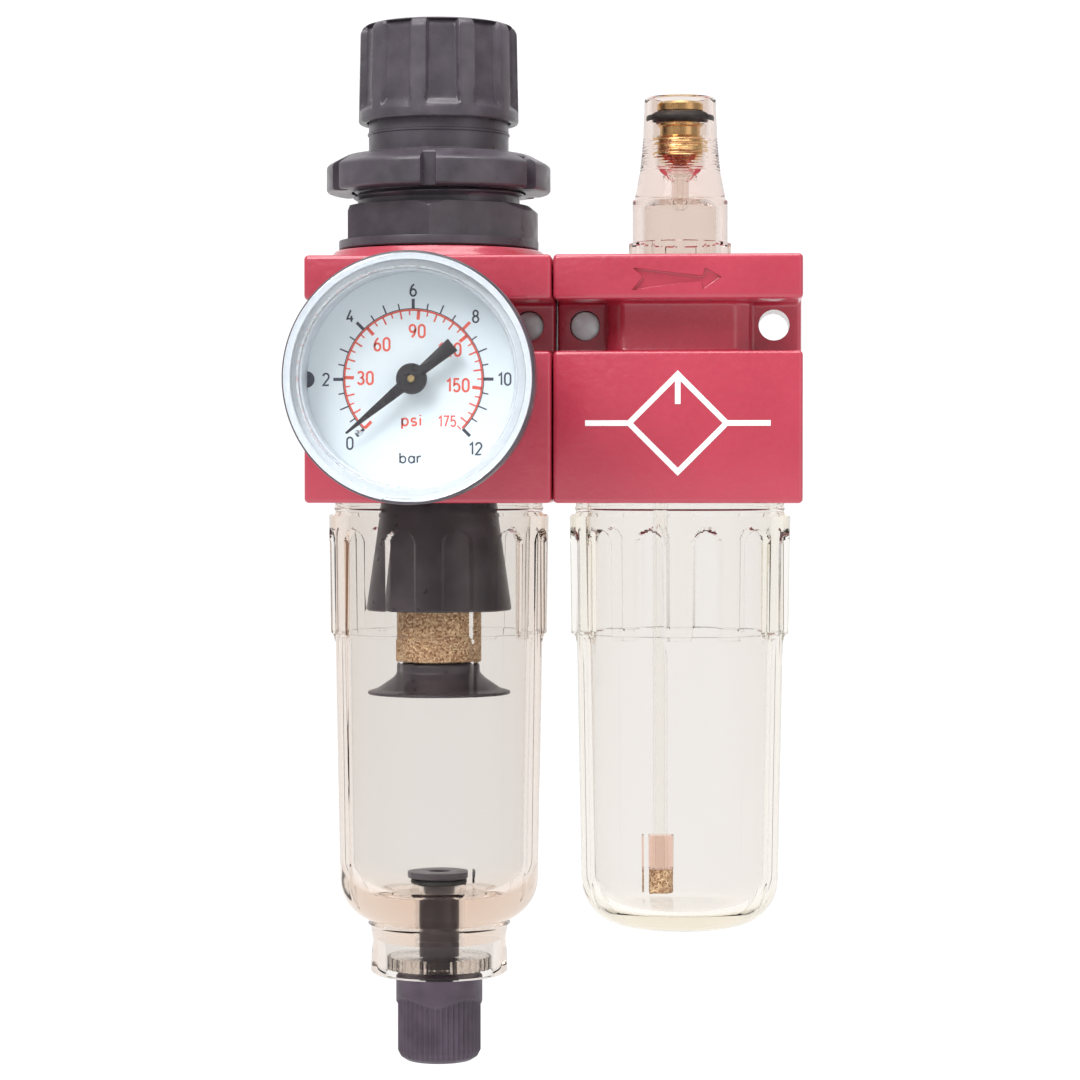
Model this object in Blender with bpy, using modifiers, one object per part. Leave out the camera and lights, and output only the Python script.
"""Filter regulator lubricator: two cast bodies in line, each with a clear screwed bowl.

The left unit filters and regulates: valve and filter below, bonnet and push-lock knob above, gauge
in front. The right unit lubricates: siphon tube in the oil bowl, needle screw in the sight dome.
Metres, +Z up, front towards -Y, flow towards +X. The origin is on the main port axis, where the
two bodies meet.
"""

import math

import bmesh
import bpy
from mathutils import Matrix, Vector

MM = 0.001
FIT = 0.3 * MM  # clearance between two pieces that seat on or slide in each other

# Cast bodies, both the same size
BODY_SIDE = 42.0 * MM
BODY_RISE = 24.9 * MM  # top face above the port axis
BODY_DROP = 17.1 * MM  # underside below the port axis
BODY_EDGE = 1.0 * MM
TOP_BAR = 7.6 * MM  # bar above the front and rear channel
CHANNEL_HEIGHT = 8.7 * MM
WEB_HALF = 7.5 * MM
BLOCK_HALF = 12.27 * MM  # block left standing in the middle of the channel
BLOCK_REACH = 13.5 * MM
BLOCK_CHAMFER = 2.6 * MM
WEB_HOLE_RADIUS = 2.65 * MM
WEB_HOLE_FROM_FACE = 4.7 * MM
WEB_HOLE_ABOVE_MIDDLE = 0.53 * MM
BOSS_FOOT_RADIUS = 19.25 * MM
BOSS_TOP_RADIUS = 18.5 * MM
BOSS_HEIGHT = 1.8 * MM
BOSS_LAND = 0.45 * MM  # upright part of the boss before it slopes in

# Ports and passages
PORT_RADIUS = 5.9 * MM
PORT_END = 10.0 * MM  # how near the axis a port ends
PORT_CHAMFER = 1.0 * MM
GAUGE_PORT_RADIUS = 4.9 * MM
GAUGE_RISE = 3.1 * MM  # gauge axis above the port axis
GAUGE_PORT_END = 12.0 * MM
PLUG_SOCKET_RADIUS = 2.7 * MM
MAIN_BORE_RADIUS = 4.0 * MM
SEAT_HOLE_RADIUS = 4.0 * MM
PASSAGE_RADIUS = 2.3 * MM
SENSE_RADIUS = 1.2 * MM
DRIP_HOLE_RADIUS = 1.0 * MM
INLET_WALL = 1.0 * MM  # metal between the port's end and the inlet passage
OUTLET_WALL = 0.7 * MM  # metal between the valve chamber and the outlet passage
PASSAGE_RUNOUT = 1.5 * MM  # how far a passage runs on into the bore it opens into

# Bonnet and knob
BONNET_BORE_RADIUS = 15.5 * MM
BONNET_BORE_DEPTH = 8.0 * MM
BONNET_FLANGE_RADIUS = 17.5 * MM
BONNET_FLANGE = 1.6 * MM
HEX_ACROSS = 30.0 * MM
HEX_HEIGHT = 6.0 * MM
LUG_REACH = 17.4 * MM  # the hexagon's right side is a round sector, this far from the axis
LUG_HALF_ANGLE = 30  # degrees
LUG_POINTS = 9
SEAT_LAND = 0.25 * MM  # register above the hexagon that centres the panel's hole
UNDERCUT = 1.0 * MM
THREAD_RADIUS = 15.0 * MM
THREAD_DEPTH = 0.9 * MM
THREAD_LENGTH = 7.8 * MM
NECK_RADIUS = 12.25 * MM
NECK_LENGTH = 9.0 * MM
SPRING_BORE_RADIUS = 10.2 * MM
BONNET_ROOF = 3.0 * MM
NUT_RADIUS = 19.6 * MM
NUT_HEIGHT = 4.6 * MM
NUT_CROWN = 1.8 * MM
NUT_GAP = 1.4 * MM  # thread showing between hexagon undercut and nut
NUT_SLOTS = 6
NUT_SLOT_WIDTH = 2.75 * MM
NUT_SLOT_DEPTH = 2.2 * MM
KNOB_FOOT_RADIUS = 14.0 * MM
KNOB_TOP_RADIUS = 13.7 * MM
KNOB_HEIGHT = 17.3 * MM
KNOB_GAP = 5.7 * MM  # neck showing between thread and knob
KNOB_EDGE = 1.5 * MM
FLUTES = 10
FLUTE_RADIUS = 3.6 * MM
FLUTE_DEPTH = 1.2 * MM
FLUTE_TURN = math.radians(8.2)
FLUTE_SKIRT = 2.2 * MM

# Regulator parts
SPINDLE_RADIUS = 4.0 * MM
SPINDLE_FLANGE_RADIUS = 7.0 * MM
SPINDLE_FLANGE = 2.3 * MM
SPINDLE_THREAD_RADIUS = 3.0 * MM
SPINDLE_THREAD = 18.0 * MM
SPINDLE_END = 6.5 * MM  # reach above the bonnet roof
SEAT_PLATE_RADIUS = 9.6 * MM
SEAT_PLATE = 3.0 * MM
SEAT_HUB_RADIUS = 5.5 * MM
SEAT_HUB = 3.0 * MM
SEAT_DROP = 2.9 * MM  # spindle flange to spring seat, knob fully out
RANGE_WIRE_RADIUS = 0.9 * MM
RANGE_COIL_RADIUS = 7.6 * MM
RANGE_TURNS = 5
PISTON_BORE_RADIUS = 10.3 * MM
PISTON_BORE_DEPTH = 7.8 * MM
PISTON_HEIGHT = 4.0 * MM
PISTON_BELOW_RIM = 0.8 * MM
PISTON_BOSS_RADIUS = 4.5 * MM
PISTON_BOSS = 2.5 * MM
PISTON_GROOVE = 1.8 * MM
PISTON_GROOVE_DEPTH = 1.5 * MM
VALVE_WALL = 7.0 * MM  # metal between the piston bore and the valve chamber
VALVE_CHAMBER_RADIUS = 7.5 * MM
VALVE_CHAMBER_HEIGHT = 12.5 * MM
POPPET_RADIUS = 5.2 * MM
POPPET_HEAD = 2.2 * MM
POPPET_STEM_RADIUS = 1.2 * MM
POPPET_GUIDE_RADIUS = 1.6 * MM
POPPET_GUIDE = 12.5 * MM
VALVE_WIRE_RADIUS = 0.35 * MM
VALVE_COIL_RADIUS = 3.0 * MM
VALVE_TURNS = 3
CARRIER_PLUG = 3.3 * MM
CARRIER_FLANGE_RADIUS = 9.0 * MM
CARRIER_FLANGE = 3.2 * MM
CARRIER_BOSS_RADIUS = 4.0 * MM
CARRIER_BOSS = 8.0 * MM
CARRIER_GUIDE_FLOOR = 3.0 * MM
CARRIER_HOLES = 6
CARRIER_HOLE_RADIUS = 1.1 * MM

# Filter parts
SHROUD_WALL = 1.2 * MM
SHROUD_TOP = 1.5 * MM
SHROUD_LENGTH = 23.6 * MM
SHROUD_TOP_RADIUS = 9.5 * MM
SHROUD_HOLE_LAND = 0.85 * MM  # rim under which the element seats
SHROUD_BOWL_GAP = 3.25 * MM  # between the shroud's foot and the bowl wall
ELEMENT_RADIUS = 7.45 * MM
ELEMENT_WALL = 2.45 * MM
ELEMENT_LENGTH = 30.8 * MM
BAFFLE_DROP = 5.4 * MM
BAFFLE_BOWL_GAP = 3.3 * MM
BAFFLE_WALL = 1.5 * MM
TIE_ROD_RADIUS = 1.8 * MM

# Bowls
BOWL_NECK_RADIUS = 18.2 * MM
BOWL_RIDGE = 0.25 * MM
BOWL_WALL = 2.2 * MM
BOWL_NECK = 7.7 * MM  # neck from the collar up into the body
BOWL_SEAL_RADIUS = 1.1 * MM
COLLAR_GAP = 2.0 * MM  # neck showing between body and grip collar
COLLAR_RISE = 1.1 * MM  # collar stands this far proud of the neck at its top
COLLAR_TAPER = 0.35 * MM
COLLAR_LENGTH = 21.3 * MM
COLLAR_GROOVES = 12
COLLAR_GROOVE_WIDTH = 5.1 * MM
COLLAR_GROOVE_START = 2.7 * MM
BOWL_DEPTH = 73.9 * MM  # body underside to bowl underside
BOWL_TAPER = 0.8 * MM
BOWL_CORNER = 8.0 * MM
FILTER_BOWL_FLOOR = 5.4 * MM
OIL_BOWL_FLOOR = 3.2 * MM
OIL_BOWL_SLIMMER = 0.2 * MM

# Drain
FOOT_RADIUS = 12.0 * MM
FOOT_LENGTH = 8.8 * MM
FOOT_WAIST = 0.3 * MM
FOOT_RECESS_RADIUS = 9.5 * MM
FOOT_RECESS = 5.7 * MM
DRAIN_HOLE_RADIUS = 3.9 * MM
STEM_RADIUS = 3.5 * MM
STEM_HEAD_RADIUS = 5.6 * MM
STEM_HEAD = 1.5 * MM
STEM_TAIL_RADIUS = 2.4 * MM
STEM_TAIL = 9.8 * MM
STEM_BORE_RADIUS = 1.2 * MM
DRAIN_SEAL_RADIUS = 0.7 * MM
RETAINER_HEIGHT = 2.2 * MM
RETAINER_RECESS = 0.8 * MM
DRAIN_KNOB_RADIUS = 7.6 * MM
DRAIN_KNOB_BAND = 5.0 * MM
DRAIN_KNOB_STEP = 0.45 * MM
DRAIN_KNOB_HEIGHT = 15.0 * MM
DRAIN_KNOB_EDGE = 1.2 * MM
DRAIN_OUTLET_RADIUS = 1.5 * MM

# Gauge, measured from the body's front face outwards
GAUGE_RADIUS = 20.25 * MM
GAUGE_CASE_GAP = 8.3 * MM
GAUGE_CASE_DEPTH = 23.3 * MM
GAUGE_CASE_WALL = 1.2 * MM
GAUGE_CASE_RIM = 5.8 * MM  # length of the full-width rim behind the lens
GAUGE_CASE_STEP = 1.1 * MM  # how much slimmer the case is behind that rim
GAUGE_CASE_DRAFT = 1.0 * MM
GAUGE_STEM_THREAD = 8.7 * MM
GAUGE_STEM_ACROSS = 14.0 * MM
GAUGE_WASHER = 1.2 * MM
GAUGE_WASHER_RADIUS = 7.4 * MM
GAUGE_SOCKET_RADIUS = 5.0 * MM
GAUGE_SOCKET = 6.0 * MM
DIAL_DEPTH = 10.5 * MM  # dial face behind the lens front
DIAL_THICK = 0.6 * MM
DIAL_HOLE_RADIUS = 1.2 * MM
LENS_RIM = 2.6 * MM
LENS_FLANGE = 1.1 * MM
LENS_PLATE = 1.2 * MM
LENS_PLATE_SET_BACK = 1.8 * MM
LENS_SKIRT = 6.5 * MM
POINTER_ANGLE = math.radians(219.5)
POINTER_LENGTH = 13.8 * MM
POINTER_TAIL = 8.6 * MM
POINTER_HUB_RADIUS = 2.4 * MM
POINTER_THICK = 0.5 * MM
POINTER_TIP_WIDTH = 0.35 * MM
POINTER_ROOT_WIDTH = 1.5 * MM
POINTER_TAIL_WIDTH = 2.3 * MM
POINTER_ABOVE_DIAL = 2.4 * MM
STOP_PEG_RADIUS = 0.6 * MM
STOP_PEG_REACH = 12.0 * MM
STOP_PEG_TURN = math.radians(7.0)
ARBOR_RADIUS = 0.55 * MM
GEAR_MODULE = 0.26 * MM
TOOTH_ABOVE = 0.55  # tooth tip above the pitch circle, in modules
TOOTH_BELOW = 0.95  # tooth root below it, in modules
TOOTH_ROOT_HALF = 0.21  # half a tooth's width at its root, in tooth pitches
TOOTH_TIP_HALF = 0.1
PINION_TEETH = 10
SECTOR_FULL_TEETH = 75
SECTOR_TEETH = 14  # even, so that a tooth gap meets the pinion
SECTOR_HUB_RADIUS = 1.6 * MM
SECTOR_LEAD = 4  # whole teeth between the tooth gap in mesh at zero and the sector's middle
GEAR_THICK = 0.8 * MM
SECTOR_TAIL = 3.0 * MM
MOVEMENT_PLATE = 0.8 * MM
MOVEMENT_PLATE_MARGIN = 2.0 * MM  # plate beyond the sector's pivot
BOURDON_RADIUS = 15.0 * MM
BOURDON_TUBE_RADIUS = 1.1 * MM
BOURDON_BEND = 3.0 * MM
BOURDON_START = 195  # degrees
BOURDON_SWEEP = 196
BOURDON_POINTS = 15
LINK_LENGTH = 9.0 * MM
LINK_WIDTH = 1.4 * MM

# Lubricator parts
DOME_BORE_RADIUS = 8.6 * MM
DOME_BORE_DEPTH = 8.2 * MM
DOME_BASE_RADIUS = 8.9 * MM
DOME_BASE = 3.0 * MM
DOME_BARREL_RADIUS = 8.3 * MM
DOME_BARREL = 7.6 * MM
DOME_CONE = 10.4 * MM
DOME_NECK_RADIUS = 6.5 * MM
DOME_TOP_RADIUS = 6.3 * MM
DOME_NECK = 7.2 * MM
DOME_WALL = 2.0 * MM
DOME_SPIGOT = 6.0 * MM
DOME_GROOVE = 2.0 * MM
DOME_GROOVE_DEPTH = 1.3 * MM
DOME_GROOVE_LAND = 1.0 * MM  # spigot left below its seal groove
SCREW_BORE_RADIUS = 2.9 * MM
SCREW_BORE = 15.0 * MM
SCREW_SEAL_BORE_RADIUS = 3.9 * MM
SCREW_SEAL_BORE = 6.8 * MM
SCREW_RADIUS = 2.25 * MM
SCREW_GROOVE = 0.35 * MM
SCREW_BELOW_TOP = 0.8 * MM
SCREW_HEAD = 1.6 * MM
SCREW_GROOVE_HEIGHT = 2.4 * MM
SCREW_FLANGE = 1.0 * MM
SCREW_FLANGE_RADIUS = 3.4 * MM
SCREW_SLOT = 0.8 * MM
NOZZLE_RADIUS = 1.3 * MM
NOZZLE_BORE_RADIUS = 0.5 * MM
NOZZLE_HEAD_RADIUS = 2.5 * MM
NOZZLE_HEAD = 1.0 * MM
NOZZLE_HANG = 1.6 * MM
SIPHON_X = -3.6 * MM
SIPHON_Y = 6.4 * MM
VENT_X = 6.0 * MM
SIPHON_RADIUS = 1.3 * MM
SIPHON_BORE_RADIUS = 0.8 * MM
SIPHON_TOP = 5.9 * MM  # reach into the body above the bowl chamber
SIPHON_FILTER_RADIUS = 2.37 * MM
SIPHON_FILTER_LENGTH = 10.9 * MM
SIPHON_FILTER_FOOT = 0.8 * MM
SIPHON_INSERT = 6.0 * MM
BALL_RADIUS = 1.2 * MM
FLAP_X = 3.0 * MM
FLAP_RADIUS = 3.4 * MM
FLAP_THICK = 0.6 * MM
FLAP_TAB = 1.6 * MM
FLAP_PIN_RADIUS = 0.5 * MM
FLAP_PIN = 6.0 * MM

# Joint between the bodies
NIPPLE_WALL = 1.4 * MM
FACE_SEAL_RADIUS = 8.1 * MM
FACE_SEAL_WIRE = 0.7 * MM
FACE_GROOVE = 1.6 * MM

# Roundness, as sides of a full circle
TINY, COARSE, MEDIUM, FINE = 8, 12, 20, 32
COIL_STEPS = 10  # points along one turn of a spring
SHARP = math.radians(30)

# Levels and places that follow from the sizes above
UNIT_X = (BODY_SIDE + FIT) / 2
FACE = BODY_SIDE / 2
BOSS_TOP = BODY_RISE + BOSS_HEIGHT
CHANNEL_TOP = BODY_RISE - TOP_BAR
CHANNEL_FOOT = CHANNEL_TOP - CHANNEL_HEIGHT
BONNET_FLOOR = BOSS_TOP - BONNET_BORE_DEPTH
PISTON_FLOOR = BONNET_FLOOR - PISTON_BORE_DEPTH
VALVE_SEAT = PISTON_FLOOR - VALVE_WALL
CHAMBER_ROOF = VALVE_SEAT - VALVE_CHAMBER_HEIGHT
BOWL_BORE_RADIUS = BOWL_NECK_RADIUS + BOWL_RIDGE + FIT
FLANGE_FOOT = BOSS_TOP + FIT
HEX_FOOT = FLANGE_FOOT + BONNET_FLANGE
HEX_TOP = HEX_FOOT + HEX_HEIGHT
THREAD_FOOT = HEX_TOP + UNDERCUT
THREAD_TOP = THREAD_FOOT + THREAD_LENGTH
NECK_TOP = THREAD_TOP + NECK_LENGTH
ROOF_UNDER = NECK_TOP - BONNET_ROOF
NUT_FOOT = THREAD_FOOT + NUT_GAP
KNOB_FOOT = THREAD_TOP + KNOB_GAP
KNOB_TOP = KNOB_FOOT + KNOB_HEIGHT
SPINDLE_FLANGE_TOP = ROOF_UNDER - FIT
SPINDLE_FLANGE_FOOT = SPINDLE_FLANGE_TOP - SPINDLE_FLANGE
SEAT_PLATE_TOP = SPINDLE_FLANGE_FOOT - SEAT_DROP
SEAT_PLATE_FOOT = SEAT_PLATE_TOP - SEAT_PLATE
PISTON_TOP = BONNET_FLOOR - PISTON_BELOW_RIM
PISTON_FOOT = PISTON_TOP - PISTON_HEIGHT
POPPET_TOP = VALVE_SEAT - FIT
POPPET_FOOT = POPPET_TOP - POPPET_HEAD
CARRIER_FLANGE_TOP = CHAMBER_ROOF - FIT
CARRIER_TOP = CARRIER_FLANGE_TOP + CARRIER_PLUG
CARRIER_FLANGE_FOOT = CARRIER_FLANGE_TOP - CARRIER_FLANGE
CARRIER_FOOT = CARRIER_FLANGE_FOOT - CARRIER_BOSS
SHROUD_ROOF = CARRIER_FLANGE_FOOT - FIT
SHROUD_FOOT = SHROUD_ROOF - SHROUD_LENGTH
ELEMENT_TOP = SHROUD_ROOF - SHROUD_TOP - FIT
ELEMENT_FOOT = ELEMENT_TOP - ELEMENT_LENGTH
BAFFLE_TOP = ELEMENT_FOOT - FIT
COLLAR_TOP = -BODY_DROP - COLLAR_GAP
COLLAR_FOOT = COLLAR_TOP - COLLAR_LENGTH
BOWL_TOP = COLLAR_TOP + BOWL_NECK
BOWL_FOOT = -BODY_DROP - BOWL_DEPTH
BOWL_INNER_RADIUS = BOWL_NECK_RADIUS - BOWL_WALL
DRAIN_FLOOR = BOWL_FOOT + FILTER_BOWL_FLOOR
FOOT_END = BOWL_FOOT - FOOT_LENGTH
RECESS_ROOF = FOOT_END + FOOT_RECESS
DRAIN_KNOB_TOP = FOOT_END - FIT
DRAIN_KNOB_FOOT = DRAIN_KNOB_TOP - DRAIN_KNOB_HEIGHT
CASE_BACK = FACE + GAUGE_CASE_GAP
CASE_FRONT = CASE_BACK + GAUGE_CASE_DEPTH
LENS_FRONT = CASE_FRONT + FIT + LENS_FLANGE
CASE_BORE_RADIUS = GAUGE_RADIUS - GAUGE_CASE_WALL
CASE_SHOULDER = CASE_FRONT - GAUGE_CASE_RIM
CASE_BODY_RADIUS = GAUGE_RADIUS - GAUGE_CASE_STEP
DIAL_RADIUS = CASE_BODY_RADIUS - GAUGE_CASE_WALL - GAUGE_CASE_DRAFT / 2
DIAL_FACE = LENS_FRONT - DIAL_DEPTH
POINTER_LEVEL = DIAL_FACE + POINTER_ABOVE_DIAL
SOCKET_TOP = CASE_BACK + GAUGE_CASE_WALL + GAUGE_SOCKET
PLATE_LEVEL = SOCKET_TOP + FIT
GEAR_LEVEL = PLATE_LEVEL + MOVEMENT_PLATE + FIT
LINK_LEVEL = GEAR_LEVEL + GEAR_THICK + FIT
PINION_RADIUS = GEAR_MODULE * PINION_TEETH / 2
SECTOR_RADIUS = GEAR_MODULE * SECTOR_FULL_TEETH / 2
SECTOR_PIVOT = PINION_RADIUS + SECTOR_RADIUS
DOME_FLOOR = BODY_RISE - DOME_BORE_DEPTH
DOME_SPIGOT_FOOT = BODY_RISE + FIT - DOME_SPIGOT
DOME_BASE_TOP = BODY_RISE + FIT + DOME_BASE
DOME_SHOULDER = DOME_BASE_TOP + DOME_BARREL
DOME_CONE_TOP = DOME_SHOULDER + DOME_CONE
DOME_TOP = DOME_CONE_TOP + DOME_NECK
SCREW_BORE_FOOT = DOME_TOP - SCREW_BORE
SEAL_BORE_FOOT = DOME_TOP - SCREW_SEAL_BORE
NOZZLE_ROOF = DOME_SHOULDER - FIT
OIL_FLOOR = BOWL_FOOT + OIL_BOWL_FLOOR
SIPHON_FILTER_END = OIL_FLOOR + SIPHON_FILTER_FOOT
SIPHON_FILTER_TOP = SIPHON_FILTER_END + SIPHON_FILTER_LENGTH
SIPHON_END = SIPHON_FILTER_TOP - SIPHON_INSERT
SIPHON_HEAD = CHAMBER_ROOF + SIPHON_TOP
FLAP_HINGE = MAIN_BORE_RADIUS + FIT

COLOURS = {
    "red_powder_coat": ((0.52, 0.035, 0.055), 0.42, 0.0),
    "black_plastic": ((0.035, 0.03, 0.035), 0.45, 0.0),
    "clear_polycarbonate": ((0.92, 0.86, 0.82), 0.08, 0.0),
    "brass": ((0.72, 0.5, 0.22), 0.3, 1.0),
    "zinc_plated_steel": ((0.62, 0.63, 0.64), 0.35, 1.0),
    "sintered_bronze": ((0.55, 0.32, 0.14), 0.7, 1.0),
    "black_rubber": ((0.02, 0.02, 0.022), 0.7, 0.0),
    "white_enamel": ((0.8, 0.86, 0.88), 0.35, 0.0),
    "black_enamel": ((0.03, 0.025, 0.03), 0.35, 0.0),
    "clear_acrylic": ((0.95, 0.97, 0.98), 0.05, 0.0),
    "natural_nylon": ((0.75, 0.72, 0.62), 0.5, 0.0),
}


def clear_scene():
    for obj in list(bpy.data.objects):
        bpy.data.objects.remove(obj)


def new_collection(name):
    collection = bpy.data.collections.new(name)
    bpy.context.scene.collection.children.link(collection)
    return collection


def material(name):
    found = bpy.data.materials.get(name)
    if found:
        return found
    colour, roughness, metallic = COLOURS[name]
    made = bpy.data.materials.new(name)
    made.use_nodes = True
    shader = made.node_tree.nodes["Principled BSDF"]
    shader.inputs["Base Color"].default_value = (*colour, 1.0)
    shader.inputs["Roughness"].default_value = roughness
    shader.inputs["Metallic"].default_value = metallic
    made.diffuse_color = (*colour, 1.0)
    return made


clear_scene()
PARTS = new_collection("filter_regulator_lubricator")
CUTTERS = new_collection("cutters")


def axis(name, place, turn=(0, 0, 0)):
    """An empty on a unit's axis, which the pieces of that unit hang from."""
    made = bpy.data.objects.new(name, None)
    made.location = place
    made.rotation_euler = turn
    PARTS.objects.link(made)
    return made


FILTER_AXIS = axis("filter_regulator_axis", (-UNIT_X, 0, 0))
OIL_AXIS = axis("lubricator_axis", (UNIT_X, 0, 0))
# local +Z of the gauge axis faces the front
GAUGE_AXIS = axis("gauge_axis", (-UNIT_X, 0, GAUGE_RISE), (math.pi / 2, 0, 0))
REAR_AXIS = axis("rear_port_axis", (-UNIT_X, 0, GAUGE_RISE), (-math.pi / 2, 0, 0))
JOINT_AXIS = axis("joint_axis", (0, 0, 0), (0, math.pi / 2, 0))  # local +Z along the flow


def placed(name, mesh, parent, coat, place=(0, 0, 0), turn=(0, 0, 0)):
    """A piece of the product, or a cutter where coat is None."""
    made = bpy.data.objects.new(name, mesh)
    made.parent = parent
    made.location = place
    made.rotation_euler = turn
    if coat:
        PARTS.objects.link(made)
        mesh.materials.append(material(coat))
    else:
        CUTTERS.objects.link(made)
        made.hide_render = True
        made.display_type = "WIRE"
    return made


def settle(obj):
    """Applies an object's modifiers, or turns a curve into a mesh, and shades its round faces smooth."""
    bpy.context.view_layer.update()
    graph = bpy.context.evaluated_depsgraph_get()
    mesh = bpy.data.meshes.new_from_object(obj.evaluated_get(graph))
    work = bmesh.new()
    work.from_mesh(mesh)
    bmesh.ops.remove_doubles(work, verts=work.verts, dist=1e-6)
    work.to_mesh(mesh)
    work.free()
    mesh.shade_smooth()
    mesh.set_sharp_from_angle(angle=SHARP)
    if obj.type == "MESH":
        obj.modifiers.clear()
        obj.data = mesh
        return obj
    made = bpy.data.objects.new(obj.name + "_mesh", mesh)
    made.parent = obj.parent
    made.location = obj.location
    made.rotation_euler = obj.rotation_euler
    made.hide_render = obj.hide_render
    made.display_type = obj.display_type
    name, home = obj.name, obj.users_collection[0]
    bpy.data.objects.remove(obj)
    made.name = name
    home.objects.link(made)
    return made


def screwed(name, outline, closed, parent, coat, sides, **where):
    mesh = bpy.data.meshes.new(name)
    edges = [(i, i + 1) for i in range(len(outline) - 1)]
    if closed:
        edges.append((len(outline) - 1, 0))
    mesh.from_pydata([(r, 0, z) for r, z in outline], edges, [])
    made = placed(name, mesh, parent, coat, **where)
    turn = made.modifiers.new("Turn", "SCREW")
    turn.axis = "Z"
    turn.steps = turn.render_steps = sides
    turn.use_merge_vertices = True
    turn.merge_threshold = 1e-6
    return settle(made)


def ring(name, outer, inner, parent, coat, sides=MEDIUM, **where):
    """A turned piece with a bore. Both outlines are (radius, height) from the top down."""
    return screwed(name, list(outer) + list(reversed(inner)), True, parent, coat, sides, **where)


def turned(name, outline, parent, coat, sides=MEDIUM, **where):
    """A turned piece closed on its axis: the outline starts and ends there, and runs down its outer side."""
    return screwed(name, outline, False, parent, coat, sides, **where)


def rod(name, radius, low, high, parent, coat=None, sides=MEDIUM, **where):
    outline = [(0, high), (radius, high), (radius, low), (0, low)]
    return turned(name, outline, parent, coat, sides, **where)


def o_ring(name, radius, wire, height, parent, coat="black_rubber", sides=MEDIUM, **where):
    section = [(radius + x, height + z) for x, z in arc(0, 0, wire, 90, -210, 6)]
    return screwed(name, section, True, parent, coat, sides, **where)


def arc(x, z, radius, start, end, points):
    """Points on an arc, from start to end in degrees."""
    step = (end - start) / (points - 1)
    angles = [math.radians(start + i * step) for i in range(points)]
    return [(x + radius * math.cos(a), z + radius * math.sin(a)) for a in angles]


def block(name, low, high, parent, coat=None, edge=0.0):
    size = [b - a for a, b in zip(low, high)]
    centre = [(a + b) / 2 for a, b in zip(low, high)]
    mesh = bpy.data.meshes.new(name)
    work = bmesh.new()
    scale = Matrix.Diagonal((*size, 1.0))
    bmesh.ops.create_cube(work, size=1.0, matrix=Matrix.Translation(centre) @ scale)
    work.to_mesh(mesh)
    work.free()
    made = placed(name, mesh, parent, coat)
    if edge:
        bevel = made.modifiers.new("Edges", "BEVEL")
        bevel.width = edge
        bevel.segments = 2
        settle(made)
    return made


def drill(name, radius, start, end, parent, sides=MEDIUM):
    """A straight round cutter between two points."""
    start, end = Vector(start), Vector(end)
    span = end - start
    turn = span.to_track_quat("Z", "Y").to_matrix().to_4x4()
    mesh = bpy.data.meshes.new(name)
    work = bmesh.new()
    bmesh.ops.create_cone(
        work,
        cap_ends=True,
        segments=sides,
        radius1=radius,
        radius2=radius,
        depth=span.length,
        matrix=Matrix.Translation((start + end) / 2) @ turn,
    )
    work.to_mesh(mesh)
    work.free()
    return placed(name, mesh, parent, None)


def plate(name, outline, low, high, parent, coat, **where):
    """A flat outline given thickness along its own Z."""
    curve = bpy.data.curves.new(name, "CURVE")
    curve.dimensions = "2D"
    curve.fill_mode = "BOTH"
    curve.extrude = (high - low) / 2
    spline = curve.splines.new("POLY")
    spline.points.add(len(outline) - 1)
    for point, (x, y) in zip(spline.points, outline):
        point.co = (x, y, 0, 1)
    spline.use_cyclic_u = True
    made = settle(placed(name, curve, parent, coat, **where))
    made.data.transform(Matrix.Translation((0, 0, (high + low) / 2)))
    return made


def wire(name, points, radius, parent, coat):
    """A round wire or tube along a list of points."""
    curve = bpy.data.curves.new(name, "CURVE")
    curve.dimensions = "3D"
    curve.bevel_depth = radius
    curve.bevel_resolution = 1
    curve.use_fill_caps = True
    spline = curve.splines.new("POLY")
    spline.points.add(len(points) - 1)
    for point, place in zip(spline.points, points):
        point.co = (*place, 1)
    return settle(placed(name, curve, parent, coat))


def merged(name, tools):
    """Several cutters that don't touch each other, as one mesh."""
    work = bmesh.new()
    for tool in tools:
        tool.data.transform(tool.matrix_basis)
        work.from_mesh(tool.data)
    mesh = bpy.data.meshes.new(name)
    work.to_mesh(mesh)
    work.free()
    parent = tools[0].parent
    for tool in tools:
        bpy.data.objects.remove(tool)
    return placed(name, mesh, parent, None)


def combine(obj, tool, operation):
    change = obj.modifiers.new(tool.name, "BOOLEAN")
    change.operation = operation
    change.solver = "EXACT"
    change.object = tool


def cut(obj, *tools):
    for tool in tools:
        combine(obj, tool, "DIFFERENCE")


def unite(obj, *tools):
    for tool in tools:
        combine(obj, tool, "UNION")


def port_cutter(name, side, parent):
    """A main port: a bore with a chamfered mouth, on the side of the body that side says."""
    mouth = PORT_RADIUS + PORT_CHAMFER
    outline = [
        (0, FACE + PORT_CHAMFER),
        (mouth, FACE + PORT_CHAMFER),
        (mouth, FACE),
        (PORT_RADIUS, FACE - PORT_CHAMFER),
        (PORT_RADIUS, PORT_END),
        (0, PORT_END),
    ]
    return turned(name, outline, parent, None, MEDIUM, turn=(0, side * math.pi / 2, 0))


def channel_cutter(name, side, parent):
    """The channel across one face, with a chamfered block left standing in its middle."""
    far = FACE + FIT
    chamfer = BLOCK_CHAMFER
    half = [
        (far, far),
        (far, WEB_HALF),
        (BLOCK_HALF, WEB_HALF),
        (BLOCK_HALF, BLOCK_REACH - chamfer),
        (BLOCK_HALF - chamfer, BLOCK_REACH),
    ]
    outline = half + [(-x, y) for x, y in reversed(half)]
    turn = (0, 0, 0 if side > 0 else math.pi)
    return plate(name, outline, CHANNEL_FOOT, CHANNEL_TOP, parent, None, turn=turn)


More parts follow.
